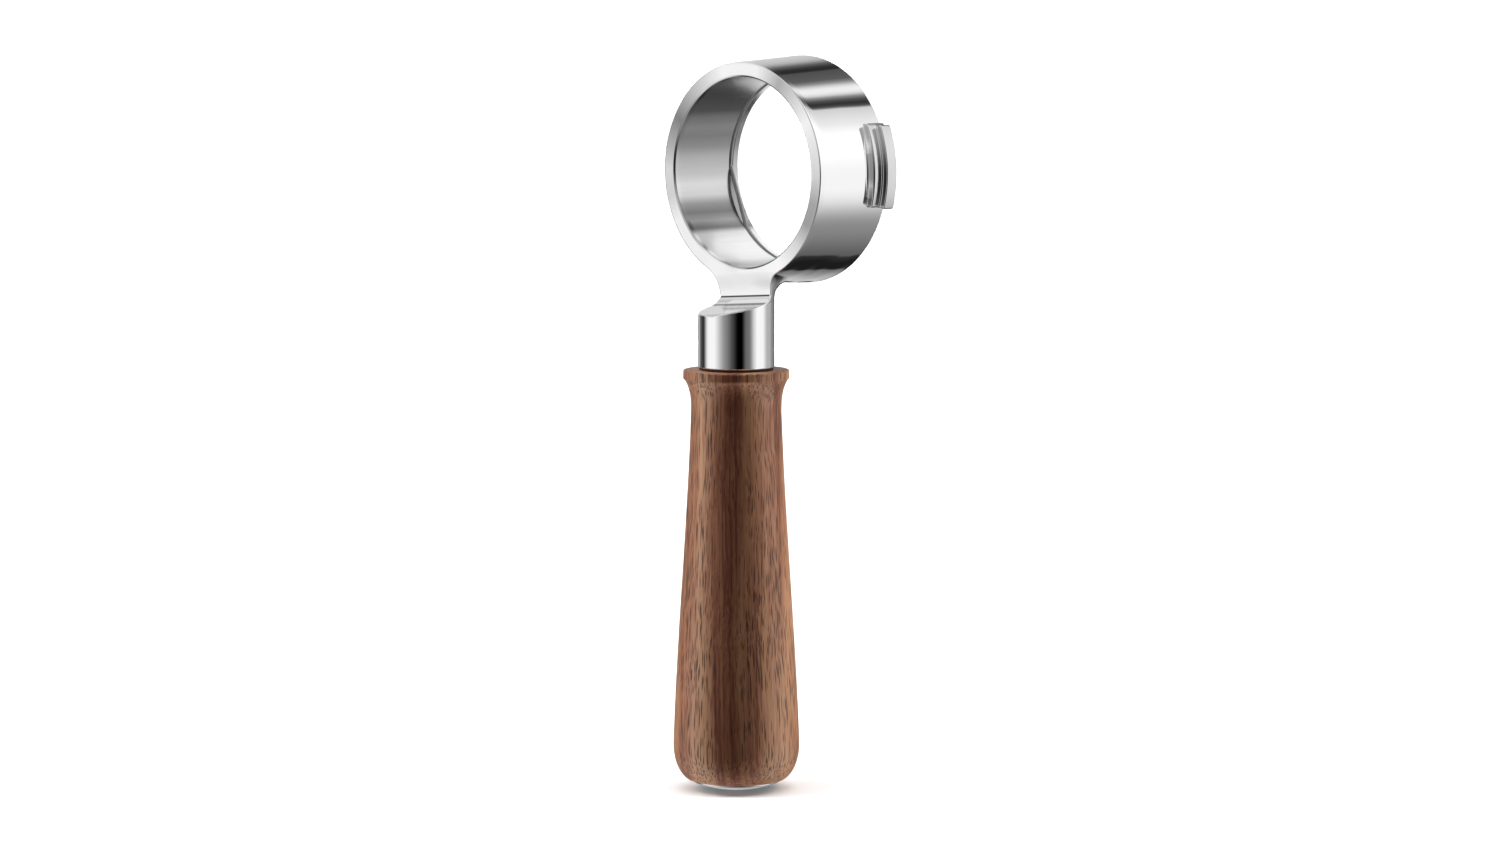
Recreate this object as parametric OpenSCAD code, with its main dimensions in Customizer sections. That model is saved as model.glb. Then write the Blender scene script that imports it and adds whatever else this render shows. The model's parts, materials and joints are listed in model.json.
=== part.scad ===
// Bottomless portafilter: an open basket ring with two bayonet lugs, a short neck and a turned
// wooden handle.
// The origin is the centre of the basket mouth, on the rim face. +Y points out of the mouth towards
// the group head, X runs across the lugs, and the handle hangs down along -Z.

/* [Basket ring] */
// Bore that holds the filter basket
bore_d = 60.5; // [60:0.1:61.5]
// Height of the ring from outlet face to rim face
ring_h = 28.9; // [27:0.1:31]
// Outside diameter at the outlet face
outlet_d = 69.8; // [69:0.1:70.6]
// Outside diameter at the rim face
rim_d = 72.9; // [72:0.1:73.8]
// Chamfer at the outlet end of the bore
bore_chamfer = 0.6; // [0.3:0.1:1]
// Edge break on the outside edges
edge_break = 0.4; // [0.2:0.1:0.6]

/* [Spring groove] */
// Width of the lip between the rim face and the spring groove
lip_w = 2.25; // [2:0.05:2.6]
// Width of the spring groove
groove_w = 1.8; // [1.6:0.05:2.2]
// Depth of the spring groove below the bore
groove_depth = 1.1; // [0.9:0.05:1.3]

/* [Lugs] */
// Diameter across the two lugs
lug_span_d = 81; // [80:0.1:82]
// Thickness of the bearing land of a lug, measured from the rim face
land_t = 4.3; // [4:0.1:5]
// Thickness of the whole lug with its foot rib
lug_t = 7.8; // [7.6:0.1:8.4]
// Angle that one lug covers
lug_angle = 39; // [34:1:44]
// Angle of the middle of the lug from the X axis, towards the top
lug_clock = 3.4; // [0:0.2:6]

/* [Neck and boss] */
// Diameter of the handle boss
boss_d = 24.2; // [23.6:0.1:25]
// Distance of the handle axis in front of the outlet face
axis_drop = 2.26; // [1.5:0.1:3]
// Distance from the ring's centre down to the top face of the wooden grip
grip_drop = 62.5; // [60:0.5:66]
// Thickness of the neck plate
web_t = 3.8; // [3:0.1:5]
// Half the width of the neck at its waist
waist_half = 11.2; // [10.8:0.1:11.6]
// Radius of the curve from the waist to the ring
flare_r = 9; // [8:0.5:10]
// Slope of the scooped shoulder in degrees
scoop_slope = 11; // [8:1:14]
// Radius at the bottom of the scoop
scoop_r = 6; // [5.5:0.25:6.5]
// Sideways tilt of the hand-ground scoop in degrees
scoop_tilt = 4.3; // [0:0.1:6]

/* [Basket spring] */
// Diameter of the spring wire
wire_d = 1.3; // [1.1:0.05:1.4]
// Half the angle that one flat of the spring covers
flat_half_angle = 21; // [18:1:24]
// Angle of the gap between the spring's ends
gap_angle = 24; // [16:1:30]

/* [Handle] */
// Length of the wooden grip
grip_len = 131.6; // [120:0.2:140]
// Radius of the collar at the top of the grip
collar_r = 16.9; // [16.4:0.1:17.4]
// Radius of the grip's slim neck
grip_neck_r = 14.4; // [14:0.1:15]
// Largest radius of the grip
grip_max_r = 20.15; // [19.6:0.1:20.8]
// Radius of the flat end of the grip
grip_end_r = 13.9; // [13.6:0.1:14.4]
// Distance of the slimmest place below the top of the grip
neck_at = 13.5; // [12:0.5:15]
// Distance of the fullest place below the top of the grip
full_at = 120; // [112:0.5:121]

/* [Handle fixings] */
// Thread diameter of the handle stud
stud_d = 12; // [11.8:0.1:12.2]
// Depth of the stud's socket in the boss
socket_depth = 14; // [12:0.5:14.5]
// Engaged length of the stud in the grip's brass insert
stud_grip_len = 21; // [18:0.5:24]
// Outside diameter of the brass insert in the top of the grip
insert_d = 17; // [16:0.5:18]
// Thickness of the fibre washer under the boss
washer_t = 0.7; // [0.5:0.1:1]
// Thread diameter of the cap stud
cap_stud_d = 6; // [5.8:0.1:6.2]

/* [End cap] */
// Height of the straight rim of the cap
cap_rim_h = 0.5; // [0.4:0.1:1]
// Height of the cap's dome
dome_h = 2.5; // [2:0.1:3.5]

/* [Hidden] */

$fn = 96;
// Overlap used where one solid is cut from or joined to another
eps = 1;

bore_r = bore_d / 2;
outlet_r = outlet_d / 2;
rim_r = rim_d / 2;
lug_r = lug_span_d / 2;
boss_r = boss_d / 2;
groove_r = bore_r + groove_depth;
// Y of the handle axis
axis_y = -ring_h - axis_drop;
// Z of the top face of the grip, and of the boss's end face above the washer
grip_top = -grip_drop;
boss_end = grip_top + washer_t;
grip_bottom = grip_top - grip_len;

// Lug section: how far the rib stays below the land, the slope of its foot, and the depth that
// the lug is sunk into the ring's wall
rib_drop = 2.2;
rib_foot = 0.8;
lug_sunk = 3;

// Neck: top of the boss inside the ring's wall, and how far the flares bite into the wall
boss_top_z = -bore_r - 2.75;
flare_bite = 1.2;

// Scoop: Z of its crease and of the top of the ramp above it at the middle of the neck, how far
// the top of the sloping shoulder lies below the crease and behind the handle axis, and the reach
// of the cutter
crease_z = -39.4;
ramp_top_z = -32;
shoulder_drop = 2.8;
shoulder_in = 0.12;
scoop_reach = 44;

// Spring: wire centre radius in the groove, radius of its rounded bends, and the middles of its
// flats and of its gap
wire_r = wire_d / 2;
wire_clear = 0.1;
coil_r = groove_r - wire_r - wire_clear;
bend_r = wire_r * 1.04;
flat_at = [80, 200, 320];
gap_at = 20;
wire_y = -lip_w - groove_w / 2;

// Fixings
thread_clear = 0.05;
insert_len = stud_grip_len + 4;
drill_tip = 1;
drill_flat = 1;
washer_r = boss_r - 0.3;
spigot_r = 5.5;
spigot_len = 5;
spigot_clear = 0.3;
butt_insert_r = 5;
butt_insert_len = 14;
cap_stud_grip = 6;
cap_stud_hold = 10;
seal_out_r = 10;
seal_in_r = 6.5;
seal_t = 0.9;

// Collar of the grip: top rounding, height of the band and radius of the bead below it
collar_round = 0.5;
collar_band = 2.6;
bead_r = 16.2;
bead_at = 3.6;
// How far the long swell eases in and out, and the steps along each curve of the outline
swell_ease = 0.35;
curve_steps = 14;

function lerp(a, b, t) = a + (b - a) * t;

// Arc points about c, from angle a to angle b
function arc(c, r, a, b, n) = [for (i = [0 : n]) let (t = lerp(a, b, i / n)) c + r * [cos(t), sin(t)]];

// Turns local +Z to +Y, for everything that is concentric with the bore
module along_bore() {
    rotate([-90, 0, 0]) children();
}

// Puts local Z on the handle axis
module on_handle() {
    translate([0, axis_y, 0]) children();
}

// ---------------------------------------------------------------- head

module ring_blank() {
    along_bore() rotate_extrude() polygon([
        [bore_r - eps, -ring_h],
        [outlet_r - edge_break, -ring_h],
        [outlet_r, -ring_h + edge_break],
        [rim_r, -edge_break],
        [rim_r - edge_break, 0],
        [bore_r - eps, 0]
    ]);
}

// Everything that is turned out of the ring: the bore, its chamfer and the spring groove
module ring_bore() {
    along_bore() {
        translate([0, 0, -ring_h - eps]) cylinder(r = bore_r, h = ring_h + 2 * eps);
        translate([0, 0, -ring_h - eps])
            cylinder(r1 = bore_r + bore_chamfer + eps, r2 = bore_r, h = bore_chamfer + eps);
        translate([0, 0, -lip_w - groove_w]) cylinder(r = groove_r, h = groove_w);
    }
}

// One bayonet lug: a bearing land flush with the rim face, stepped down to a rib at its foot
module lug(at) {
    rib_r = lug_r - rib_drop;
    inner_r = rim_r - lug_sunk;
    along_bore() rotate([0, 0, -at - lug_angle / 2]) rotate_extrude(angle = lug_angle) polygon([
        [inner_r, 0],
        [lug_r - edge_break, 0],
        [lug_r, -edge_break],
        [lug_r, -land_t + edge_break],
        [lug_r - edge_break, -land_t],
        [rib_r, -land_t],
        [rib_r, -lug_t + edge_break],
        [rib_r - edge_break, -lug_t],
        [inner_r, -lug_t - rib_foot]
    ]);
}

// Neck plate: its sides sweep from the waist into the ring's wall
module web() {
    flare_x = waist_half + flare_r;
    reach = outlet_r - flare_bite + flare_r;
    flare_z = -sqrt(reach * reach - flare_x * flare_x);
    touch = [flare_x, flare_z] * (outlet_r - flare_bite) / reach;
    translate([0, -ring_h + web_t, 0]) rotate([90, 0, 0]) linear_extrude(web_t) difference() {
        translate([-touch.x, flare_z]) square([2 * touch.x, touch.y - flare_z + 4]);
        for (side = [-1, 1]) translate([side * flare_x, flare_z]) circle(r = flare_r);
    }
}

module boss() {
    on_handle() translate([0, 0, boss_end])
        cylinder(r = boss_r, h = boss_top_z - boss_end);
}

// What the scoop takes away: a ramp that leaves the outlet face, a crease, and a sloping shoulder
module scoop() {
    bowl = [shoulder_in - scoop_r * sin(scoop_slope), scoop_r * cos(scoop_slope) - shoulder_drop];
    shoulder = arc(bowl, scoop_r, -asin(bowl.y / scoop_r), -90 + scoop_slope, 8);
    foot = shoulder[len(shoulder) - 1];
    ramp_h = ramp_top_z - crease_z;
    ramp_in = shoulder[0].x - axis_drop;
    far_x = foot.x - scoop_reach;
    over = [axis_drop - ramp_in * eps / ramp_h, ramp_h + eps];
    translate([0, 0, crease_z]) rotate([0, -scoop_tilt, 0])
        translate([-scoop_reach / 2, axis_y, 0]) rotate([90, 0, 90]) linear_extrude(scoop_reach)
            polygon(concat(
                [over],
                shoulder,
                [[far_x, foot.y - scoop_reach * tan(scoop_slope)], [far_x, over.y]]
            ));
}

module stud_socket() {
    on_handle() translate([0, 0, boss_end - eps]) {
        cylinder(d = stud_d, h = socket_depth + eps);
        translate([0, 0, socket_depth + eps]) cylinder(d1 = stud_d, d2 = drill_flat, h = stud_d / 4);
    }
}

module head() {
    color([0.82, 0.82, 0.83]) difference() {
        union() {
            ring_blank();
            lug(lug_clock);
            lug(lug_clock + 180);
            web();
            boss();
        }
        scoop();
        ring_bore();
        stud_socket();
    }
}

// ---------------------------------------------------------------- basket spring

// One straight flat of the wire, centred on the angle at, with a round bend at each end
module spring_flat(at) {
    rotate([0, 0, at]) {
        translate([coil_r * cos(flat_half_angle), 0, 0]) rotate([90, 0, 0])
            cylinder(r = wire_r, h = 2 * coil_r * sin(flat_half_angle), center = true, $fn = 24);
        for (side = [-1, 1]) rotate([0, 0, side * flat_half_angle]) translate([coil_r, 0, 0])
            sphere(r = bend_r, $fn = 24);
    }
}

// One round stretch of the coil, between the angles a and b
module spring_arc(a, b) {
    rotate([0, 0, a]) rotate_extrude(angle = b - a) translate([coil_r, 0])
        circle(r = wire_r, $fn = 24);
}

module basket_spring() {
    starts = concat([gap_at + gap_angle / 2], [for (at = flat_at) at + flat_half_angle]);
    ends = concat([for (at = flat_at) at - flat_half_angle], [gap_at - gap_angle / 2 + 360]);
    color([0.45, 0.45, 0.47]) translate([0, wire_y, 0]) rotate([90, 0, 0]) {
        for (at = flat_at) spring_flat(at);
        for (i = [0 : len(starts) - 1]) spring_arc(starts[i], ends[i]);
    }
}

// ---------------------------------------------------------------- handle fixings

module handle_stud() {
    color([0.7, 0.7, 0.72]) on_handle() translate([0, 0, grip_top - stud_grip_len])
        cylinder(d = stud_d, h = stud_grip_len + washer_t + socket_depth);
}

module boss_washer() {
    color([0.08, 0.08, 0.08]) on_handle() translate([0, 0, grip_top]) difference() {
        cylinder(r = washer_r, h = washer_t);
        translate([0, 0, -eps]) cylinder(d = stud_d + 4 * thread_clear, h = washer_t + 2 * eps);
    }
}

module handle_insert() {
    color([0.78, 0.62, 0.3]) on_handle() translate([0, 0, grip_top - insert_len]) difference() {
        cylinder(d = insert_d, h = insert_len);
        translate([0, 0, -eps]) cylinder(d = stud_d + 2 * thread_clear, h = insert_len + 2 * eps);
    }
}

module butt_insert() {
    color([0.78, 0.62, 0.3]) on_handle()
        translate([0, 0, grip_bottom + spigot_len + spigot_clear]) difference() {
            cylinder(r = butt_insert_r, h = butt_insert_len);
            translate([0, 0, -eps]) cylinder(d = cap_stud_d, h = butt_insert_len + 2 * eps);
        }
}

module cap_stud() {
    color([0.7, 0.7, 0.72]) on_handle()
        translate([0, 0, grip_bottom + spigot_len - cap_stud_grip])
            cylinder(d = cap_stud_d, h = cap_stud_grip + cap_stud_hold);
}

// ---------------------------------------------------------------- handle grip

// Outline of the grip, from the top rounding down to the flat end; heights count down from 0
function grip_outline() = concat(
    [[0, 0]],
    arc([collar_r - collar_round, -collar_round], collar_round, 90, 0, 4),
    [[collar_r, -collar_band]],
    [[bead_r, -bead_at]],
    // hollow from the bead to the slim neck
    [for (i = [1 : curve_steps]) let (t = i / curve_steps)
        [lerp(bead_r, grip_neck_r, 1 - pow(1 - t, 3)), lerp(-bead_at, -neck_at, t)]],
    // long swell from the slim neck to the fullest place
    [for (i = [1 : curve_steps]) let (t = i / curve_steps)
        [lerp(grip_neck_r, grip_max_r, lerp(t, (1 - cos(180 * t)) / 2, swell_ease)),
            lerp(-neck_at, -full_at, t)]],
    // rounded butt
    [for (i = [1 : curve_steps]) let (a = 90 * i / curve_steps)
        [grip_end_r + (grip_max_r - grip_end_r) * cos(a),
            -full_at - (grip_len - full_at) * sin(a)]],
    [[0, -grip_len]]
);

module handle_grip() {
    color([0.42, 0.26, 0.18]) on_handle() difference() {
        translate([0, 0, grip_top]) rotate_extrude() polygon(grip_outline());
        translate([0, 0, grip_top - insert_len - drill_tip])
            cylinder(d = insert_d, h = insert_len + drill_tip + eps);
        translate([0, 0, grip_bottom - eps])
            cylinder(r = spigot_r + spigot_clear, h = spigot_len + spigot_clear + eps);
        translate([0, 0, grip_bottom])
            cylinder(r = butt_insert_r, h = spigot_len + spigot_clear + butt_insert_len + drill_tip);
    }
}

// ---------------------------------------------------------------- end cap

module cap_seal() {
    color([0.1, 0.1, 0.1]) on_handle() translate([0, 0, grip_bottom - seal_t]) difference() {
        cylinder(r = seal_out_r, h = seal_t);
        translate([0, 0, -eps]) cylinder(r = seal_in_r, h = seal_t + 2 * eps);
    }
}

module end_cap() {
    dome_r = (grip_end_r * grip_end_r + dome_h * dome_h) / (2 * dome_h);
    color([0.82, 0.82, 0.83]) on_handle() translate([0, 0, grip_bottom]) difference() {
        union() {
            translate([0, 0, -cap_rim_h]) cylinder(r = grip_end_r, h = cap_rim_h);
            cylinder(r = spigot_r, h = spigot_len);
            intersection() {
                translate([0, 0, dome_r - dome_h - cap_rim_h]) sphere(r = dome_r, $fn = 240);
                translate([0, 0, -cap_rim_h - dome_h - eps]) cylinder(r = grip_end_r, h = dome_h + eps);
            }
        }
        translate([0, 0, -seal_t]) difference() {
            cylinder(r = seal_out_r, h = seal_t + eps);
            translate([0, 0, -eps]) cylinder(r = seal_in_r, h = seal_t + 3 * eps);
        }
        translate([0, 0, spigot_len - cap_stud_grip]) cylinder(d = cap_stud_d, h = cap_stud_grip + eps);
    }
}

head();
basket_spring();
handle_stud();
boss_washer();
handle_grip();
handle_insert();
butt_insert();
cap_stud();
cap_seal();
end_cap();
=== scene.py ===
"""Looks of the bottomless portafilter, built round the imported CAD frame.

Shape code works in millimetres in the part's own frame: the origin is the centre of the basket
mouth, +Y points out of the mouth, and the handle hangs down along -Z. make_piece() turns it into
metres.
"""

import json
import math

import bmesh
import bpy
import numpy as np
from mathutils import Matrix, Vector


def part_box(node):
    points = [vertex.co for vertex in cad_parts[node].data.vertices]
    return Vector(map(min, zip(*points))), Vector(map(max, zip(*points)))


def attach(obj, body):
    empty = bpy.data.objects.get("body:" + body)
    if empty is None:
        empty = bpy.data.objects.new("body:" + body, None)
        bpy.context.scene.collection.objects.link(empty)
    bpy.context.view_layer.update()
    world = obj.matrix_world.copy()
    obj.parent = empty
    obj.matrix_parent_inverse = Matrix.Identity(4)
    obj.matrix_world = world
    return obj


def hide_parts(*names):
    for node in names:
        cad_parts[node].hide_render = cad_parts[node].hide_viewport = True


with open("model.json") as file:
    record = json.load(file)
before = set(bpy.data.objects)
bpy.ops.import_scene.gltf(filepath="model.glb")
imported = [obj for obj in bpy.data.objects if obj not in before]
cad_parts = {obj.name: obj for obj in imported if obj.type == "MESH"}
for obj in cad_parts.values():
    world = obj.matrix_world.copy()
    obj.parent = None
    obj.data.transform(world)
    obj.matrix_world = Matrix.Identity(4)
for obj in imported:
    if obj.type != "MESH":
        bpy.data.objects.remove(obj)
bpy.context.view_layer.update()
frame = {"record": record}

MM = 0.001


# ---------------------------------------------------------------- sizes read from the frame

def box_mm(node):
    lo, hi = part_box(node)
    return np.array(lo) / MM, np.array(hi) / MM


def mount(name):
    return next(m for m in frame["record"]["mounts"] if m["name"] == name)


head_lo, head_hi = box_mm("head")
grip_lo, grip_hi = box_mm("handle_grip")
stud_lo, stud_hi = box_mm("handle_stud")
washer_lo, washer_hi = box_mm("boss_washer")
insert_lo, insert_hi = box_mm("handle_insert")
butt_lo, butt_hi = box_mm("butt_insert")
cap_stud_lo, cap_stud_hi = box_mm("cap_stud")
seal_lo, seal_hi = box_mm("cap_seal")
cap_lo, cap_hi = box_mm("end_cap")
spring_lo, spring_hi = box_mm("basket_spring")

# Ring: the mouth's lip, the wire groove behind it, and the outside that tapers towards the outlet
BORE_R = mount("basket_mouth")["dims"]["r_mm"]
LIP_W = mount("basket_mouth")["dims"]["length_mm"]
RING_H = -mount("outlet_face")["pos_m"][1] / MM
LUG_R = (head_hi[0] - head_lo[0]) / 2
OUTLET_R = 34.9
RIM_R = 36.45
BORE_CHAMFER = 0.6
GROOVE_W = 1.8
GROOVE_R = BORE_R + 1.1
# Roundings of the head's outer edges, of the bore's two ends and of the groove's lips
EDGE_R = 0.38
BORE_EDGE_R = 0.15
GROOVE_EDGE_R = 0.1

# Handle axis and grip
AXIS_Y = (grip_lo[1] + grip_hi[1]) / 2
GRIP_TOP = grip_hi[2]
GRIP_BOTTOM = grip_lo[2]
GRIP_LEN = GRIP_TOP - GRIP_BOTTOM
GRIP_MAX_R = (grip_hi[0] - grip_lo[0]) / 2
CAP_R = (cap_hi[0] - cap_lo[0]) / 2

# Boss: its lower end, its radius, and how far the outlet face lies behind the handle axis
BOSS_END = washer_hi[2]
BOSS_R = AXIS_Y - head_lo[1]
AXIS_DROP = -RING_H - AXIS_Y
# Bore left in the washer and in the grip, round the stud and round its insert
WASHER_BORE_R = 6.1
GRIP_SOCKET_R = 8.52

# Threads: pitch, and the radii of crest, root and run-out
STUD_PITCH = 1.75
STUD_THREAD = (5.94, 5.02, 4.9)
CAP_PITCH = 1.0
CAP_THREAD = (2.96, 2.42, 2.35)


# ---------------------------------------------------------------- mesh helpers

def make_piece(name, points, faces, body, stands_for, material, normals=None, sharp_deg=38):
    """A mesh object that rides on a body in place of its CAD node."""
    mesh = bpy.data.meshes.new(name)
    mesh.from_pydata((np.asarray(points, float) * MM).tolist(), [], faces)
    mesh.validate()
    bm = bmesh.new()
    bm.from_mesh(mesh)
    if normals is None:
        bmesh.ops.remove_doubles(bm, verts=bm.verts, dist=1e-7)
        open_edges = [e for e in bm.edges if e.is_boundary]
        if open_edges:
            bmesh.ops.holes_fill(bm, edges=open_edges)
        bmesh.ops.recalc_face_normals(bm, faces=bm.faces)
        limit = math.radians(sharp_deg)
        for edge in bm.edges:
            edge.smooth = edge.calc_face_angle(0.0) < limit
    for face in bm.faces:
        face.smooth = True
    bm.to_mesh(mesh)
    bm.free()
    if normals is not None:
        mesh.normals_split_custom_set_from_vertices(normals.tolist())
    mesh.materials.append(material)
    piece = bpy.data.objects.new(name, mesh)
    bpy.context.scene.collection.objects.link(piece)
    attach(piece, body)
    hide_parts(stands_for)
    return piece


def on_handle(points):
    """Moves points from a local Z axis to the handle axis."""
    return np.asarray(points, float) + [0, AXIS_Y, 0]


def lathe(outline, steps=192):
    """Points and faces of a turned piece: outline is a list of (radius, z), ends left open."""
    outline = np.asarray(outline, float)
    turn = np.linspace(0, 2 * np.pi, steps, endpoint=False)
    points = np.stack([
        outline[:, None, 0] * np.cos(turn),
        outline[:, None, 0] * np.sin(turn),
        np.repeat(outline[:, 1:], steps, 1),
    ], -1).reshape(-1, 3)
    rows = np.arange(len(outline) - 1)[:, None] * steps
    here, there = np.arange(steps), (np.arange(steps) + 1) % steps
    faces = np.stack([rows + here, rows + there, rows + steps + there, rows + steps + here], -1)
    return points, faces.reshape(-1, 4).tolist()


def arc(centre, radius, start, end, count):
    """Points on an arc between two angles in degrees."""
    t = np.radians(np.linspace(start, end, count + 1))
    return [(centre[0] + radius * math.cos(a), centre[1] + radius * math.sin(a)) for a in t]


def rounded(corners, count=4):
    """An outline with each corner (x, y, radius) rounded; the two end points stay as they are."""
    out = [corners[0][:2]]
    for before, (x, y, radius), after in zip(corners, corners[1:], corners[2:]):
        here = np.array([x, y], float)
        inward = np.array(before[:2]) - here
        onward = np.array(after[:2]) - here
        if radius <= 0:
            out.append((x, y))
            continue
        inward /= np.linalg.norm(inward)
        onward /= np.linalg.norm(onward)
        half = math.acos(np.clip(inward @ onward, -1, 1)) / 2
        start = here + inward * radius / math.tan(half)
        end = here + onward * radius / math.tan(half)
        middle = here + (inward + onward) / np.linalg.norm(inward + onward) * radius / math.sin(half)
        a, b = start - middle, end - middle
        sweep = math.pi - 2 * half
        for i in range(count + 1):
            t = i / count
            toward = a * math.sin((1 - t) * sweep) + b * math.sin(t * sweep)
            out.append(tuple(middle + toward / math.sin(sweep)))
    out.append(corners[-1][:2])
    return out


def screw_thread(z0, z1, pitch, crest_r, root_r, end_r, phase=0.0, steps=48, inner=False):
    """A right-handed 60 degree thread as one helical strip; its ends run out at end_r."""
    # (share of the pitch, height between root and crest) round one thread
    section = [
        (0.0, 0.0), (0.25, 0.0), (0.32, 0.18), (0.56, 0.94),
        (0.6, 1.0), (0.72, 1.0), (0.76, 0.94), (0.97, 0.1),
    ]
    if inner:
        section = [(share, 1 - height) for share, height in section]
    turns = int(math.ceil((z1 - z0) / pitch)) + 2
    i = np.arange(turns * steps + 1)[:, None]
    share = np.array([s for s, _ in section])[None, :]
    height = np.array([h for _, h in section])[None, :]
    z = z0 + (i / steps - 1 + share + phase) * pitch
    r = root_r + (crest_r - root_r) * height + 0 * i
    room = np.minimum(z - z0, z1 - z)
    limit = end_r + np.maximum(room, 0) * (-1 if inner else 1)
    r = np.maximum(r, limit) if inner else np.minimum(r, limit)
    z = np.clip(z, z0, z1)
    r = np.where(room <= 0, end_r, r)
    turn = i * 2 * np.pi / steps + 0 * share
    points = np.stack([r * np.cos(turn), r * np.sin(turn), z], -1).reshape(-1, 3)
    width = len(section)
    rows = np.arange(len(i) - 1)[:, None] * width
    column = np.arange(width - 1)
    faces = np.stack([rows + column, rows + width + column, rows + width + column + 1, rows + column + 1], -1)
    faces = faces.reshape(-1, 4).tolist()
    last = np.arange(len(i) - 1 - steps)
    seam = np.stack([
        last * width + width - 1,
        (last + 1) * width + width - 1,
        (last + 1 + steps) * width,
        (last + steps) * width,
    ], -1)
    return points, faces + seam.tolist()


# ---------------------------------------------------------------- the head as a distance field

# Fillets between ring and boss: at the neck's two sides, and behind it
NECK_FLARE = 5.4
BACK_FLARE = 7.0
# Where the boss ends inside the ring's wall, and the rounding of its lower end
BOSS_TOP = -BORE_R - 2.4
BOSS_EDGE_R = 0.3
# Scoop: a crease across the neck, a concave wall below it, then a shoulder that slopes to the front.
# Depths are measured back from the handle axis, and heights up from the crease.
CREASE_Z = -39.4
SCOOP_TILT = math.radians(4.3)
SCOOP_BACK = 4.05
SCOOP_R = 6.0
SCOOP_FOOT = -2.8
SCOOP_SLOPE = math.radians(11)
RAMP_TOP = 9.0
# Threaded hole in the boss
SOCKET_R = 6.03
SOCKET_DEPTH = 14.0
# Lugs: a land at the rim face and a lower rib behind it. The ends are angles above the X axis.
LAND_T = 4.35
LUG_T = 7.8
RIB_R = 38.3
RIB_DRAFT = 0.47
LAND_ENDS = (-16.2, 22.6)
RIB_ENDS = (-16.4, 25.0)
# (side edge, upper end, lower end) roundings, the fillet between land and rib, and the fillet at the
# foot with what it gains in the middle of the lug
LAND_EDGES = (0.4, 0.7, 0.6)
RIB_EDGES = (0.5, 1.0, 0.8)
STEP_FILLET = 0.7
FOOT_FILLET = (0.35, 0.45)
# Taper of the ring's outside, and how it rolls in over the last millimetres before the outlet face
WALL_COS = math.cos(math.atan((RIM_R - OUTLET_R) / RING_H))
ROLL_OFF = 0.09
ROLL_W = 3.0


def join(a, b, radius, cosine=0.0):
    """Union of two distances with a rolling-ball fillet. cosine is that of the angle between them."""
    u, v = radius - a, radius - b
    ball = radius - np.sqrt(np.maximum(u * u + v * v - 2 * cosine * u * v, 0) / (1 - cosine * cosine))
    corner = (u > cosine * v) & (v > cosine * u)
    return np.where(corner, np.minimum(ball, np.minimum(a, b)), np.minimum(a, b))


def cut(a, b, radius, cosine=0.0):
    """What a and b have in common, with the edge between them rounded."""
    return -join(-a, -b, radius, cosine)


def lug_swell(x, z):
    """1 along the middle of a lug, 0 at its ends; the second lug is the first after half a turn."""
    side = np.where(x < 0, -1.0, 1.0)
    turn = np.degrees(np.arctan2(z * side, x * side))
    return np.clip(1.15 - ((turn - 4) / 15) ** 2, 0, 1)


def lug_distance(x, y, z, r):
    """Both lugs: a land flush with the rim face, stepped down to a rib with a drafted near side."""
    side = np.where(x < 0, -1.0, 1.0)
    x, z = x * side, z * side

    def sector(ends):
        low, high = (math.radians(e) for e in ends)
        above = z * math.cos(high) - x * math.sin(high)
        below = x * math.sin(low) - z * math.cos(low)
        return above, below

    def trimmed(outside, near_side, ends, edges):
        above, below = sector(ends)
        return cut(cut(cut(outside, near_side, edges[0]), above, edges[1]), below, edges[2])

    land = trimmed(r - LUG_R, -LAND_T - y, LAND_ENDS, LAND_EDGES)
    draft = RIB_DRAFT * lug_swell(x, z)
    drafted = (-LUG_T - y - (RIB_R - r) * draft) / np.sqrt(1 + draft * draft)
    rib = trimmed(r - RIB_R, drafted, RIB_ENDS, RIB_EDGES)
    return join(land, rib, STEP_FILLET)


def scoop_air(x, back, z):
    """The space in front of the outlet face and above the boss's sloping shoulder."""
    up = (z - CREASE_Z) * math.cos(SCOOP_TILT) - x * math.sin(SCOOP_TILT)
    # the rear wall below the crease and the shoulder, with the scoop's radius between them
    rear = back - SCOOP_R * (1 - math.sin(SCOOP_SLOPE))
    shoulder = back * math.sin(SCOOP_SLOPE) - (up - SCOOP_FOOT) * math.cos(SCOOP_SLOPE)
    bowl = cut(rear, shoulder, SCOOP_R, math.sin(SCOOP_SLOPE))
    # the face above the crease eases back from the outlet plane
    share = np.clip(1 - up / RAMP_TOP, 0, 1)
    face = back - AXIS_DROP - (SCOOP_BACK - AXIS_DROP) * share * share * (3 - 2 * share)
    return np.maximum(face, bowl)


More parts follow.
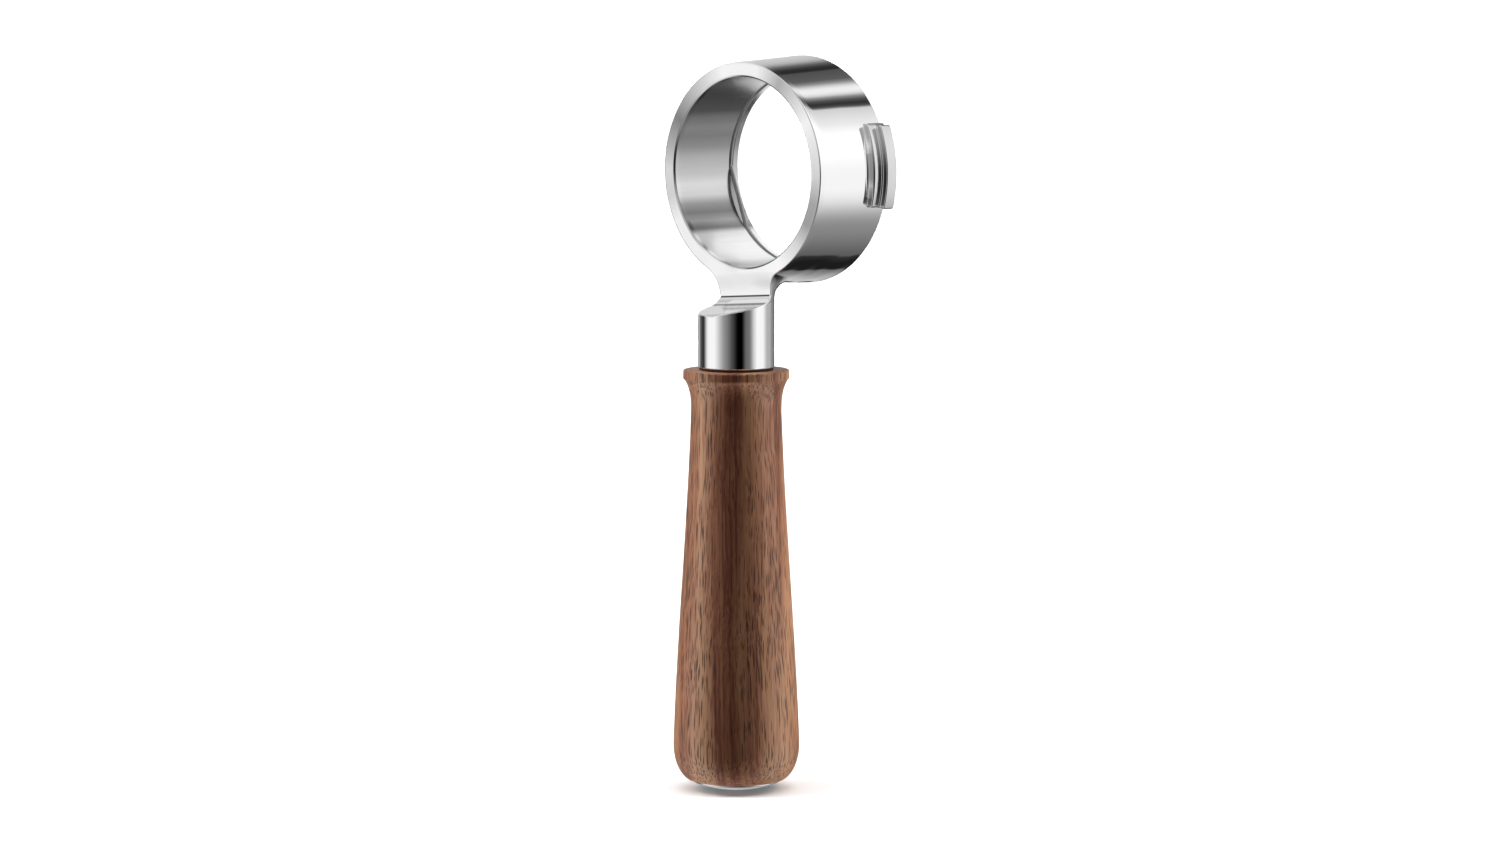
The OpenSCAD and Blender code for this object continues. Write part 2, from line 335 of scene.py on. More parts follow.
def head_distance(p):
    """Signed distance, or nearly so, from points to the surface of the head."""
    x, y, z = p[..., 0], p[..., 1], p[..., 2]
    r = np.hypot(x, z) + 1e-9
    rise = y + RING_H
    roll_off = ROLL_OFF * np.clip(1 - rise / ROLL_W, 0, 2) ** 2
    wall = (r - (OUTLET_R + (RIM_R - OUTLET_R) * rise / RING_H - roll_off)) * WALL_COS
    back = y - AXIS_Y
    boss_r = np.hypot(x, back) + 1e-9
    boss = np.maximum(cut(boss_r - BOSS_R, BOSS_END - z, BOSS_EDGE_R), z - BOSS_TOP)
    sideways = np.clip(x * x / (r * boss_r), 0, 0.6)
    flare = BACK_FLARE + (NECK_FLARE - BACK_FLARE) * (x / boss_r) ** 2
    solid = join(wall, boss, flare, sideways)
    swell = lug_swell(x, z)
    lean = np.sin(np.arctan(RIB_DRAFT * swell))
    solid = join(solid, lug_distance(x, y, z, r), FOOT_FILLET[0] + FOOT_FILLET[1] * swell, lean)
    solid = cut(solid, y, EDGE_R)
    solid = cut(solid, -scoop_air(x, back, z), EDGE_R)
    solid = cut(solid, BORE_R - r, BORE_EDGE_R)
    solid = np.maximum(solid, (BORE_CHAMFER - (r - BORE_R) - rise) * math.sqrt(0.5))
    groove = np.maximum(r - GROOVE_R, np.abs(y + LIP_W + GROOVE_W / 2) - GROOVE_W / 2)
    solid = cut(solid, -groove, GROOVE_EDGE_R)
    socket = np.maximum(boss_r - SOCKET_R, z - BOSS_END - SOCKET_DEPTH)
    return np.maximum(solid, -socket)


def slope(distance, p, step=0.01):
    """Gradient of a distance field by central differences."""
    out = np.empty_like(p)
    for k in range(3):
        offset = np.zeros(3)
        offset[k] = step
        out[:, k] = (distance(p + offset) - distance(p - offset)) / (2 * step)
    return out


def stretches(*runs):
    """Grid lines through (start, end, step) runs that follow one another."""
    lines = [np.linspace(a, b, max(1, round((b - a) / step)), endpoint=False) for a, b, step in runs]
    return np.concatenate(lines + [[runs[-1][1]]])


LONGEST_STEP = 0.15


def net_surface(distance, turn, radius, depth):
    """Quads on the zero surface of distance, over a grid of angle, radius and Y. Angles wrap round."""
    t_grid, r_grid, y_grid = np.meshgrid(turn, radius, depth, indexing="ij")
    grid = np.stack([r_grid * np.cos(t_grid), y_grid, r_grid * np.sin(t_grid)], -1)
    field = distance(grid)
    count_t, count_r, count_y = field.shape
    wrapped = np.concatenate([field, field[:1]], 0)
    inside = wrapped < 0
    corners = [(i, j, k) for i in (0, 1) for j in (0, 1) for k in (0, 1)]

    def block(a, c):
        return a[c[0]:count_t + c[0], c[1]:count_r - 1 + c[1], c[2]:count_y - 1 + c[2]]

    sums = sum(block(inside, c).astype(np.int8) for c in corners)
    mixed = (sums > 0) & (sums < 8)
    number = np.full(mixed.shape, -1)
    number[mixed] = np.arange(mixed.sum())
    values = np.stack([block(wrapped, c)[mixed] for c in corners], -1)
    total = np.zeros((len(values), 3))
    hits = np.zeros(len(values))
    for a in range(8):
        for b in range(a + 1, 8):
            ca, cb = np.array(corners[a], float), np.array(corners[b], float)
            if np.abs(ca - cb).sum() != 1:
                continue
            crossing = (values[:, a] < 0) != (values[:, b] < 0)
            t = values[:, a] / np.where(crossing, values[:, a] - values[:, b], 1)
            total += np.where(crossing[:, None], ca + t[:, None] * (cb - ca), 0)
            hits += crossing
    spot = np.stack(np.nonzero(mixed), -1) + total / hits[:, None]
    all_turns = np.append(turn, turn[0] + 2 * np.pi)
    angle = np.interp(spot[:, 0], np.arange(count_t + 1), all_turns)
    rad = np.interp(spot[:, 1], np.arange(count_r), radius)
    y = np.interp(spot[:, 2], np.arange(count_y), depth)
    points = np.stack([rad * np.cos(angle), y, rad * np.sin(angle)], -1)

    quads = []
    before = (np.arange(count_t) - 1) % count_t
    change = inside[1:, 1:-1, 1:-1] != inside[:-1, 1:-1, 1:-1]
    quads.append(np.stack([number[:, :-1, :-1][change], number[:, 1:, :-1][change],
                           number[:, 1:, 1:][change], number[:, :-1, 1:][change]], -1))
    change = inside[:-1, 1:, 1:-1] != inside[:-1, :-1, 1:-1]
    quads.append(np.stack([number[before][:, :, :-1][change], number[:, :, :-1][change],
                           number[:, :, 1:][change], number[before][:, :, 1:][change]], -1))
    change = inside[:-1, 1:-1, 1:] != inside[:-1, 1:-1, :-1]
    quads.append(np.stack([number[before][:, :-1, :][change], number[:, :-1, :][change],
                           number[:, 1:, :][change], number[before][:, 1:, :][change]], -1))
    quads = np.concatenate(quads)

    # pulls the points onto the surface, a short step at a time
    for _ in range(5):
        g = slope(distance, points)
        move = distance(points)[:, None] * g / np.maximum((g * g).sum(1), 0.2)[:, None]
        size = np.linalg.norm(move, axis=1)[:, None]
        points -= move * np.minimum(1, LONGEST_STEP / np.maximum(size, 1e-9))
    normals = slope(distance, points)
    normals /= np.linalg.norm(normals, axis=1)[:, None]
    across = np.cross(points[quads[:, 2]] - points[quads[:, 0]], points[quads[:, 3]] - points[quads[:, 1]])
    wrong = (across * normals[quads].sum(1)).sum(1) < 0
    quads[wrong] = quads[wrong][:, ::-1]
    return points, quads, normals


def build_head(material):
    # the grid is fine at the neck, the lugs and the groove, and coarse on the plain ring
    degrees = stretches((-106, -74, 0.3), (-74, -66, 0.42), (-66, -20, 1.5), (-20, 29, 0.5), (29, 160, 1.5),
                        (160, 209, 0.5), (209, 246, 1.5), (246, 254, 0.42))[:-1]
    radius = stretches((29.6, 31.8, 0.24), (31.8, 34.2, 0.5), (34.2, 47, 0.26), (47, 61, 0.42),
                       (61, 64.2, 0.24))
    depth = stretches((-44.1, -25.8, 0.26), (-25.8, -10.8, 0.8), (-10.8, 0.8, 0.22))
    points, quads, normals = net_surface(head_distance, np.radians(degrees), radius, depth)
    return make_piece("polished_head", points, quads.tolist(), "head", "head", material,
                      normals)


# ---------------------------------------------------------------- the other pieces

def build_spring(material):
    """Drawn wire with three flats that stand proud of the bore, and an open gap."""
    wire_r = 0.65
    coil_r = GROOVE_R - wire_r - 0.1
    y = (spring_lo[1] + spring_hi[1]) / 2
    # angles in degrees: the gap between the wire's ends, and the three flats
    gap_at, gap_half, flat_half, flats_at = 20.0, 12.0, 21.0, (80.0, 200.0, 320.0)
    t = np.arange(gap_at + gap_half, gap_at - gap_half + 360 + 0.001, 0.5)
    reach = np.full(len(t), coil_r)
    for at in flats_at:
        off = np.abs(t - at)
        chord = coil_r * math.cos(math.radians(flat_half)) / np.cos(np.radians(np.minimum(off, flat_half)))
        reach = np.where(off < flat_half, chord, reach)
    # eases the corner between arc and flat
    window = np.hanning(7)
    padded = np.pad(reach, 3, mode="edge")
    reach = np.convolve(padded, window / window.sum(), "valid")
    a = np.radians(t)
    path = np.stack([reach * np.cos(a), np.full(len(t), y), reach * np.sin(a)], -1)
    along = np.gradient(path, axis=0)
    along /= np.linalg.norm(along, axis=1)[:, None]
    out = np.cross(along, [0, 1, 0])
    ring = np.linspace(0, 2 * np.pi, 20, endpoint=False)
    rows = []
    # (path point, push along the wire, share of the radius): both ends are chamfered
    ends = [(0, -0.12, 0.82)] + [(i, 0, 1) for i in range(len(t))] + [(len(t) - 1, 0.12, 0.82)]
    for i, push, scale in ends:
        centre = path[i] + along[i] * push
        section = np.outer(np.cos(ring), out[i]) + np.outer(np.sin(ring), [0, 1, 0])
        rows.append(centre + wire_r * scale * section)
    points = np.concatenate(rows)
    n = len(ring)
    faces = []
    for row in range(len(rows) - 1):
        for k in range(n):
            faces.append((row * n + k, row * n + (k + 1) % n, (row + 1) * n + (k + 1) % n, (row + 1) * n + k))
    return make_piece("spring_coil", points, faces, "basket_spring", "basket_spring", material)


def build_stud(material):
    points, faces = screw_thread(stud_lo[2], stud_hi[2] - 0.1, STUD_PITCH, *STUD_THREAD)
    return make_piece("threaded_stud", on_handle(points), faces, "head", "handle_stud",
                      material)


def grip_outline():
    """Half section of the grip, from its top face down to the flat end."""
    collar_r, collar_round, collar_band = 16.9, 0.55, 2.7
    bead_r, bead_at, neck_r, neck_at = 16.15, 3.6, 14.4, 13.5
    full_at = 120.0
    steps, swell_ease = 40, 0.35
    out = [(GRIP_SOCKET_R, 0.0)]
    out += arc((collar_r - collar_round, -collar_round), collar_round, 90, 0, 6)
    out += rounded([(collar_r, -collar_round, 0), (collar_r, -collar_band, 0.45), (bead_r, -bead_at, 0.5),
                    (bead_r - 0.5, -bead_at - 0.8, 0)], 4)[1:-1]
    for i in range(1, steps + 1):
        t = i / steps
        out.append((bead_r + (neck_r - bead_r) * (1 - (1 - t) ** 3), -bead_at + (bead_at - neck_at) * t))
    for i in range(1, steps + 1):
        t = i / steps
        ease = t + ((1 - math.cos(math.pi * t)) / 2 - t) * swell_ease
        out.append((neck_r + (GRIP_MAX_R - neck_r) * ease, -neck_at + (neck_at - full_at) * t))
    for i in range(1, steps // 2 + 1):
        a = math.pi / 2 * i / (steps // 2)
        r = CAP_R + (GRIP_MAX_R - CAP_R) * math.cos(a)
        out.append((r, -full_at - (GRIP_LEN - full_at) * math.sin(a)))
    return [(r, GRIP_TOP + z) for r, z in out]


def build_grip(material):
    spigot_r, insert_r, steps = 5.8, 5.02, 256
    butt_hole = [(spigot_r, GRIP_BOTTOM), (spigot_r, butt_lo[2]), (insert_r, butt_lo[2]),
                 (insert_r, butt_hi[2] + 1), (0.0, butt_hi[2] + 1)]
    points, faces = lathe(grip_outline() + butt_hole, steps)
    socket = [(GRIP_SOCKET_R, GRIP_TOP), (GRIP_SOCKET_R, insert_lo[2] - 1), (0.0, insert_lo[2] - 3)]
    more, more_faces = lathe(socket, steps)
    faces = faces + [[i + len(points) for i in f] for f in more_faces]
    points = np.concatenate([points, more])
    return make_piece("turned_grip", on_handle(points), faces, "handle", "handle_grip", material)


def build_sleeve(name, node, lo, hi, outer_r, pitch, thread_r, material, fins):
    """A threaded brass insert: fins round the outside, a screw thread inside."""
    # known fault: the turns start at the insert's own lower end, so they overlap the turns of its stud
    z0, z1 = lo[2], hi[2]
    crest_r, root_r = thread_r
    mouth_r, chamfer, step, plain_top, plain_foot = root_r + 0.05, 0.3, 1.5, 2.0, 1.0
    points, faces = screw_thread(z0, z1, pitch, crest_r, root_r, mouth_r, inner=True)
    outline = [(mouth_r, z1), (outer_r - chamfer, z1), (outer_r, z1 - chamfer)]
    z = z1 - plain_top
    while z - step > z0 + plain_foot:
        outline += [(outer_r, z), (outer_r - fins, z - step * 0.5), (outer_r, z - step)]
        z -= step
    outline += [(outer_r, z0 + chamfer), (outer_r - chamfer, z0), (mouth_r, z0)]
    shell, shell_faces = lathe(outline, 48)
    faces = faces + [[i + len(points) for i in f] for f in shell_faces]
    points = np.concatenate([points, shell])
    return make_piece(name, on_handle(points), faces, "handle", node, material, sharp_deg=30)


def build_washer(material):
    lo, hi = washer_lo[2], washer_hi[2]
    outer = (washer_hi[0] - washer_lo[0]) / 2
    outline = rounded([(WASHER_BORE_R, (lo + hi) / 2, 0), (WASHER_BORE_R, hi, 0.15), (outer, hi, 0.2),
                       (outer, lo, 0.2), (WASHER_BORE_R, lo, 0.15), (WASHER_BORE_R, (lo + hi) / 2, 0)], 3)
    points, faces = lathe(outline, 128)
    return make_piece("fibre_washer", on_handle(points), faces, "boss_washer", "boss_washer",
                      material)


def build_cap(material):
    """Domed cap with a thin straight rim, a seal groove and a threaded spigot."""
    top, rim_h = GRIP_BOTTOM, 0.5
    low = cap_lo[2]
    dome_h = top - rim_h - low
    dome_r = (CAP_R ** 2 + dome_h ** 2) / (2 * dome_h)
    edge = math.degrees(math.asin(CAP_R / dome_r))
    dome = arc((0.0, low + dome_r), dome_r, -90 + edge, -90, 40)
    seal_out, seal_in, spigot = (seal_hi[0] - seal_lo[0]) / 2, 6.5, 5.5
    seal_top = seal_lo[2]
    hole_r, lead_in, chamfer = 2.9, 0.2, 0.3
    outline = [(0.0, cap_stud_lo[2]), (hole_r, cap_stud_lo[2]), (hole_r, cap_hi[2] - lead_in),
               (hole_r + lead_in, cap_hi[2]), (spigot - chamfer, cap_hi[2]), (spigot, cap_hi[2] - chamfer),
               (spigot, top), (seal_in, top), (seal_in, seal_top), (seal_out, seal_top), (seal_out, top)]
    rim = [(seal_out + 1, top, 0), (CAP_R, top, 0.12), (CAP_R, top - rim_h, 0.25), dome[2] + (0,)]
    outline += rounded(rim, 3)[:-1]
    outline += dome[2:]
    points, faces = lathe(outline, 192)
    return make_piece("domed_cap", on_handle(points), faces, "handle", "end_cap", material)


def build_seal(material):
    lo, hi = seal_lo[2], seal_hi[2]
    inner, outer, edge = 6.52, (seal_hi[0] - seal_lo[0]) / 2 - 0.02, 0.25
    outline = rounded([(inner, (lo + hi) / 2, 0), (inner, hi, edge), (outer, hi, edge), (outer, lo, edge),
                       (inner, lo, edge), (inner, (lo + hi) / 2, 0)], 4)
    points, faces = lathe(outline, 96)
    return make_piece("rubber_seal", on_handle(points), faces, "handle", "cap_seal", material)


def build_cap_stud(material):
    points, faces = screw_thread(cap_stud_lo[2], cap_stud_hi[2], CAP_PITCH, *CAP_THREAD, steps=36)
    return make_piece("cap_thread", on_handle(points), faces, "handle", "cap_stud", material)


# ---------------------------------------------------------------- node helpers

def put(tree, kind, values=(), out=0, **settings):
    """Adds a node, sets or links its inputs in order (None skips one), and returns one output."""
    node = tree.nodes.new(kind)
    for key, value in settings.items():
        setattr(node, key, value)
    items = values.items() if isinstance(values, dict) else enumerate(values)
    for key, value in items:
        if value is None:
            continue
        if isinstance(value, bpy.types.NodeSocket):
            tree.links.new(value, node.inputs[key])
        else:
            node.inputs[key].default_value = value
    return node.outputs[out]


def calc(tree, operation, *values):
    return put(tree, "ShaderNodeMath", values, operation=operation)


def inverse(tree, value):
    return calc(tree, "SUBTRACT", 1.0, value)


def product(tree, first, *others):
    for other in others:
        first = calc(tree, "MULTIPLY", first, other)
    return first


def length(tree, a, b):
    return calc(tree, "SQRT", calc(tree, "ADD", calc(tree, "MULTIPLY", a, a), calc(tree, "MULTIPLY", b, b)))


def parts(tree, vector):
    """The X, Y and Z of a vector."""
    return [put(tree, "ShaderNodeSeparateXYZ", [vector], out=k) for k in range(3)]


def smooth(tree, value, start, end):
    """0 before start, 1 after end, with a soft step between."""
    return put(tree, "ShaderNodeMapRange", {0: value, 1: start, 2: end, 3: 0.0, 4: 1.0},
               interpolation_type="SMOOTHSTEP")


def spread(tree, value, start, end, low, high):
    """Runs evenly from low at start to high at end."""
    return put(tree, "ShaderNodeMapRange", {0: value, 1: start, 2: end, 3: low, 4: high})


def blend(tree, factor, a, b):
    """Mixes two numbers."""
    return put(tree, "ShaderNodeMix", {0: factor, 2: a, 3: b})


def mix(tree, factor, a, b):
    """Mixes two colours."""
    return put(tree, "ShaderNodeMix", {0: factor, 6: a, 7: b}, out=2, data_type="RGBA")


def scaled(tree, vector, factors, offset=(0, 0, 0)):
    return put(tree, "ShaderNodeMapping", {0: vector, 1: offset, 3: factors})


def noise(tree, vector, scale=1.0, detail=2.0, roughness=0.5, distortion=0.0, out=0):
    inputs = {"Vector": vector, "Scale": scale, "Detail": detail, "Roughness": roughness,
              "Distortion": distortion}
    return put(tree, "ShaderNodeTexNoise", inputs, out=out)


def ramp(tree, value, stops):
    """Colours between (position, colour) stops."""
    node = tree.nodes.new("ShaderNodeValToRGB")
    elements = node.color_ramp.elements
    while len(elements) > 1:
        elements.remove(elements[-1])
    for i, (position, color) in enumerate(stops):
        element = elements[0] if i == 0 else elements.new(position)
        element.position = position
        element.color = color if len(color) == 4 else (*color, 1)
    tree.links.new(value, node.inputs[0])
    return node.outputs[0]


def grey_ramp(tree, value, stops):
    return ramp(tree, value, [(p, (v, v, v, 1)) for p, v in stops])


def painted_reflection_greys(tree, angle, stops):
    """Painted reflection greys at angles in degrees round the ring; angle runs 0..1 over a turn and wraps."""
    stops = [(degrees / 360, value) for degrees, value in stops]
    return grey_ramp(tree, angle, stops + [(1.0, stops[0][1])])


def new_material(name):
    material = bpy.data.materials.new(name)
    material.use_nodes = True
    tree = material.node_tree
    tree.nodes.clear()
    surface = tree.nodes.new("ShaderNodeBsdfPrincipled")
    output = tree.nodes.new("ShaderNodeOutputMaterial")
    tree.links.new(surface.outputs[0], output.inputs[0])
    place = put(tree, "ShaderNodeTexCoord", out=3)
    # object coordinates in millimetres
    place = scaled(tree, place, (1 / MM, 1 / MM, 1 / MM))
    return material, tree, surface, place


def set_input(tree, surface, **values):
    for key, value in values.items():
        socket = surface.inputs[key.replace("_", " ")]
        if isinstance(value, bpy.types.NodeSocket):
            tree.links.new(value, socket)
        else:
            socket.default_value = value


def bump(tree, height, strength, distance, normal=None):
    """height in 0..1 stands for distance metres."""
    inputs = {"Strength": strength, "Distance": distance, "Height": height, "Normal": normal}
    return put(tree, "ShaderNodeBump", inputs)


# ---------------------------------------------------------------- materials

# Painted reflection greys of the bore and the outlet face, as (degrees round the ring from +X towards +Z,
# grey): they paint in the bands of reflected light and dark that these turned surfaces show. They were
# corrected against brightness that a helper script read from the photo, so they are fitted, not designed.
BORE_PAINTED_REFLECTION = [
    (0, 0.8), (60, 0.6), (100, 0.45), (125, 0.74), (130, 0.6), (136, 0.42), (142, 0.36), (147, 0.58),
    (154, 0.6), (160, 0.4), (167, 0.38), (173, 0.5), (184, 0.6), (190, 0.76), (197, 0.7), (202, 0.38),
    (208, 0.28), (214, 0.6), (219, 0.3), (223, 0.95), (240, 0.9), (250, 0.84), (256, 0.6), (262, 0.45),
    (300, 0.8),
]
FACE_PAINTED_REFLECTION = [
    (0, 0.68), (30, 0.95), (60, 0.46), (78, 0.97), (105, 1.0), (125, 0.64), (150, 0.24), (168, 0.48),
    (180, 0.72), (195, 0.68), (210, 0.93), (300, 1.0), (318, 0.72), (332, 0.36), (345, 0.4),
]
# Painted shade lines in the scoop's crease and at the foot of its radius: height over the crease, depth
# behind the axis, half width, darkness
PAINTED_SHADE_LINES = ((0.02, SCOOP_BACK, 0.4, 0.93), (SCOOP_FOOT + 0.35, 1.3, 0.38, 0.72))
BRIGHT = (0.955, 0.955, 0.96, 1)
BRUSHED = (0.8, 0.8, 0.805, 1)
# dark tone of the painted shade lines in the scoop's creases
PAINTED_SHADE_TONE = (0.02, 0.02, 0.021, 1)
# Roughness of the lugs, the outlet face, the rim face and the scoop
LUG_ROUGH, FACE_ROUGH, RIM_ROUGH, SCOOP_ROUGH = 0.13, 0.15, 0.24, 0.14


def polished_steel():
    """Mirror polished casting; the bore and the outlet face keep their fine turning lines."""
    material, tree, surface, p = new_material("polished_steel")
    x, y, z = parts(tree, p)
    radius = length(tree, x, z)
    turn = calc(tree, "ARCTAN2", z, x)
    in_bore = inverse(tree, smooth(tree, radius, BORE_R + 0.05, BORE_R + 0.25))
    at_outlet = inverse(tree, smooth(tree, y, -RING_H + 0.03, -RING_H + 0.2))
    on_ring = inverse(tree, smooth(tree, radius, OUTLET_R - 1.0, OUTLET_R + 2.5))
    on_face = product(tree, at_outlet, on_ring, inverse(tree, in_bore))
    at_lug = product(tree, smooth(tree, radius, 36.5, 37.2), smooth(tree, y, -9.6, -8.4))
    at_rim = smooth(tree, y, -0.25, -0.1)

    # buffing waves a few centimetres long, stronger under the ring, and a fine orange peel
    relief = bump(tree, noise(tree, p, 0.035, 1.0), 0.3, 0.00035)
    low = product(tree, inverse(tree, smooth(tree, z, -31.0, -24.0)),
                  inverse(tree, smooth(tree, radius, 36.6, 38.0)))
    waves = noise(tree, scaled(tree, p, (0.11, 0.15, 0.11)), 1.0, 0.0)
    relief = bump(tree, waves, product(tree, low, 0.5), 0.0009, relief)
    relief = bump(tree, noise(tree, p, 0.4, 2.0), 0.06, 0.00001, relief)
    # turning lines run round the bore and round the outlet face
    fine = put(tree, "ShaderNodeCombineXYZ",
               [product(tree, radius, 5.0), product(tree, y, 5.0), product(tree, turn, 1.2)])
    lines = noise(tree, fine, 1.0, 3.0, 0.7)
    relief = bump(tree, lines, product(tree, in_bore, 0.12), 0.00002, relief)

    # faint smears across the turning, along the bore
    smear_place = put(tree, "ShaderNodeCombineXYZ", [product(tree, turn, 60.0), product(tree, y, 0.05), 0.0])
    smears = noise(tree, smear_place, 1.0, 3.0, 0.7)
    wipe = noise(tree, scaled(tree, p, (0.25, 0.25, 0.9)), 1.0, 4.0, 0.65)
    roughness = blend(tree, at_lug, spread(tree, wipe, 0.3, 0.75, 0.014, 0.032), LUG_ROUGH)
    roughness = blend(tree, in_bore, roughness, spread(tree, smears, 0.25, 0.75, 0.2, 0.27))
    roughness = blend(tree, on_face, roughness, FACE_ROUGH)
    # the rim face and the lugs' faces are turned too, and worn dull by the group head
    roughness = blend(tree, at_rim, roughness, RIM_ROUGH)

    # painted reflection greys round the ring on the bore and the outlet face
    angle = calc(tree, "FRACT", calc(tree, "DIVIDE", turn, 2 * math.pi))
    tint = mix(tree, in_bore, BRIGHT, painted_reflection_greys(tree, angle, BORE_PAINTED_REFLECTION))
    tint = mix(tree, on_face, tint, painted_reflection_greys(tree, angle, FACE_PAINTED_REFLECTION))
    worn = ramp(tree, lines, [(0.3, (0.6, 0.6, 0.605)), (0.7, (0.74, 0.74, 0.745))])
    tint = mix(tree, at_rim, tint, worn)

    # the scoop is brushed rather than buffed, with painted shade lines in its crease and where its radius
    # ends
    up = calc(tree, "MULTIPLY_ADD", x, -math.sin(SCOOP_TILT), calc(tree, "ADD", z, -CREASE_Z))
    back = calc(tree, "ADD", y, -AXIS_Y)
    off = calc(tree, "ADD", calc(tree, "MULTIPLY_ADD", back, -math.tan(SCOOP_SLOPE), up), -SCOOP_FOOT)
    shoulder = inverse(tree, smooth(tree, calc(tree, "ABSOLUTE", off), 0.15, 0.4))
    tint = mix(tree, shoulder, tint, BRUSHED)
    leaning = product(tree, smooth(tree, back, AXIS_DROP + 0.02, AXIS_DROP + 0.2),
                      inverse(tree, smooth(tree, back, SCOOP_BACK + 0.2, SCOOP_BACK + 0.6)),
                      smooth(tree, up, -0.3, 0.0))
    roughness = blend(tree, calc(tree, "MAXIMUM", shoulder, leaning), roughness, SCOOP_ROUGH)
    inside = inverse(tree, smooth(tree, length(tree, x, back), BOSS_R - 0.75, BOSS_R - 0.3))
    # painted shade: dark lines along the concave crease and the foot of the scoop's radius
    for height, behind, half, dark in PAINTED_SHADE_LINES:
        off = calc(tree, "ABSOLUTE", calc(tree, "ADD", up, -height))
        away = calc(tree, "ABSOLUTE", calc(tree, "ADD", back, -behind))
        near = product(tree, inverse(tree, smooth(tree, off, half * 0.4, half)),
                       inverse(tree, smooth(tree, away, 1.0, 1.6)), inside)
        tint = mix(tree, product(tree, near, dark), tint, PAINTED_SHADE_TONE)
    # the lugs are hard to reach with the buffing wheel
    tint = mix(tree, at_lug, tint, BRUSHED)

    # reflections stretch across the turning lines
    stretch = calc(tree, "MAXIMUM", product(tree, in_bore, 0.95), product(tree, on_face, 0.9))
    stretch = calc(tree, "MAXIMUM", stretch, product(tree, at_rim, 0.8))
    round_bore = put(tree, "ShaderNodeCombineXYZ", [product(tree, z, -1.0), 0.0, x])
    round_bore = put(tree, "ShaderNodeVectorTransform", [round_bore], vector_type="VECTOR",
                     convert_from="OBJECT", convert_to="WORLD")
    round_bore = put(tree, "ShaderNodeVectorMath", [round_bore], operation="NORMALIZE")
    set_input(tree, surface, Base_Color=tint, Metallic=1.0, Roughness=roughness, Normal=relief,
              Anisotropic=stretch, Anisotropic_Rotation=0.0, Tangent=round_bore)
    return material


def drawn_wire():
    """Die lines along the wire."""
    material, tree, surface, p = new_material("spring_wire")
    x, y, z = parts(tree, p)
    turn = calc(tree, "ARCTAN2", z, x)
    place = put(tree, "ShaderNodeCombineXYZ", [
        product(tree, length(tree, x, z), 9.0), product(tree, y, 9.0), product(tree, turn, 6.0),
    ])
    lines = noise(tree, place, 1.0, 3.0, 0.6)
    tint = ramp(tree, lines, [(0.3, (0.27, 0.27, 0.28)), (0.7, (0.5, 0.5, 0.52))])
    roughness = spread(tree, lines, 0.3, 0.7, 0.22, 0.38)
    set_input(tree, surface, Base_Color=tint, Metallic=1.0, Roughness=roughness,
              Normal=bump(tree, lines, 0.3, 0.00001))
    return material


def plated_steel():
    """Bright zinc plate with a faint spangle."""
    material, tree, surface, p = new_material("zinc_steel")
    spangle = put(tree, "ShaderNodeTexVoronoi", {"Vector": p, "Scale": 2.2}, out=1)
    cloud = noise(tree, p, 0.8, 4.0, 0.6)
    tint = mix(tree, 0.12, ramp(tree, cloud, [(0.3, (0.5, 0.51, 0.53)), (0.7, (0.68, 0.69, 0.7))]), spangle)
    roughness = spread(tree, cloud, 0.3, 0.7, 0.2, 0.36)
    set_input(tree, surface, Base_Color=tint, Metallic=1.0, Roughness=roughness,
              Normal=bump(tree, noise(tree, p, 6.0, 3.0), 0.15, 0.00002))
    return material


def turned_brass():
    """Brass with turning marks round the bore."""
    material, tree, surface, p = new_material("brass")
    wave = {"Vector": p, "Scale": 1.4, "Distortion": 1.0, "Detail": 2.0}
    marks = put(tree, "ShaderNodeTexWave", wave, wave_type="RINGS", rings_direction="Z")
    cloud = noise(tree, p, 0.6, 4.0, 0.6)
    tint = ramp(tree, cloud, [(0.3, (0.6, 0.4, 0.16)), (0.7, (0.83, 0.62, 0.3))])
    set_input(tree, surface, Base_Color=tint, Metallic=1.0, Roughness=0.27,
              Normal=bump(tree, marks, 0.15, 0.00003))
    return material


def black_fibre():
    """Pressed fibre with short strands."""
    material, tree, surface, p = new_material("black_fibre")
    strands = noise(tree, scaled(tree, p, (4.0, 0.7, 4.0)), 1.0, 4.0, 0.7, 1.5)
    tint = ramp(tree, strands, [(0.35, (0.012, 0.012, 0.013)), (0.7, (0.045, 0.043, 0.04))])
    set_input(tree, surface, Base_Color=tint, Roughness=0.75, Normal=bump(tree, strands, 0.5, 0.00004))
    return material


def black_rubber():
    """Matt moulded rubber."""
    material, tree, surface, p = new_material("black_rubber")
    grain = noise(tree, p, 5.0, 3.0, 0.6)
    tint = ramp(tree, grain, [(0.3, (0.014, 0.014, 0.015)), (0.8, (0.03, 0.03, 0.031))])
    set_input(tree, surface, Base_Color=tint, Roughness=0.6, Normal=bump(tree, grain, 0.3, 0.00002))
    return material


def cap_steel():
    """Polished cap with faint turning marks round its middle."""
    material, tree, surface, p = new_material("cap_steel")
    centred = scaled(tree, p, (1, 1, 1), (0, -AXIS_Y, 0))
    wave = {"Vector": centred, "Scale": 1.1, "Distortion": 0.4, "Detail": 1.0}
    marks = put(tree, "ShaderNodeTexWave", wave, wave_type="RINGS", rings_direction="Z")
    cloud = noise(tree, p, 0.3, 3.0, 0.6)
    roughness = spread(tree, cloud, 0.3, 0.7, 0.06, 0.13)
    set_input(tree, surface, Base_Color=(0.9, 0.9, 0.905, 1), Metallic=1.0, Roughness=roughness,
              Normal=bump(tree, marks, 0.05, 0.00001))
    return material


# Walnut: where the pith lies from the handle axis, with the sign changed
PITH_AT = (46.0, 45.0)
